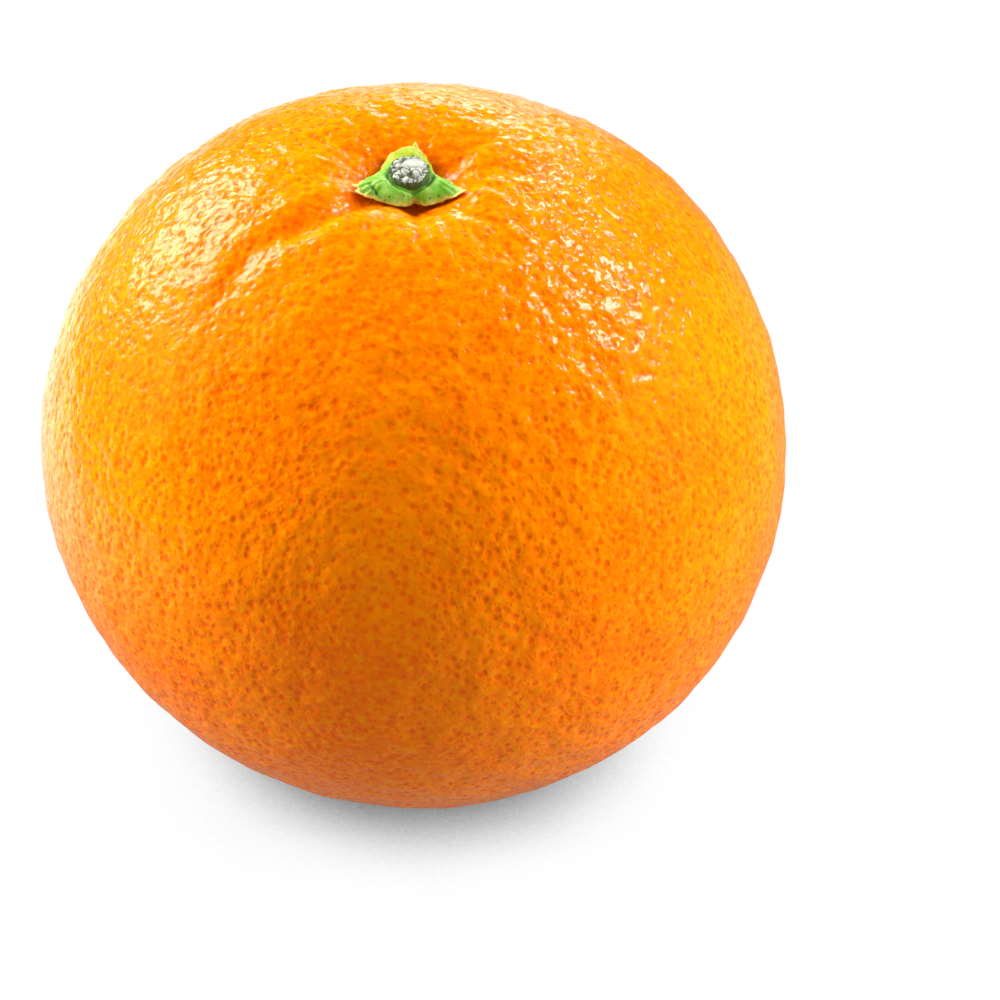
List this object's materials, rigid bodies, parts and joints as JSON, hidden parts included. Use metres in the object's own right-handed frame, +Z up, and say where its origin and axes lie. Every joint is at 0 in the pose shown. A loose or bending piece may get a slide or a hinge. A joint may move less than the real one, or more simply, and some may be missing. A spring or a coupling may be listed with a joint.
{
  "type": "orange",
  "caption": "Whole sweet orange with a pitted peel, a creased stem cavity, a green lobed calyx and a cut stalk stub, standing on a small flat spot.",
  "frame": {"origin": "middle of the flat spot that the fruit stands on", "axes": "+Z up along the stem axis, towards the stem; -Y is the side seen in front, +X to its right"},
  "size_m": [0.08, 0.08, 0.0746],
  "materials": {
    "peel": "waxy, semi-gloss, pitted with oil glands",
    "calyx_green": "fleshy satin green with yellow edges",
    "cut_stalk": "dry, crumbly cut fibre"
  },
  "bodies": {
    "root": {"fruit": "peel", "calyx": "calyx_green", "stalk_stub": "cut_stalk"}
  },
  "joints": []
}
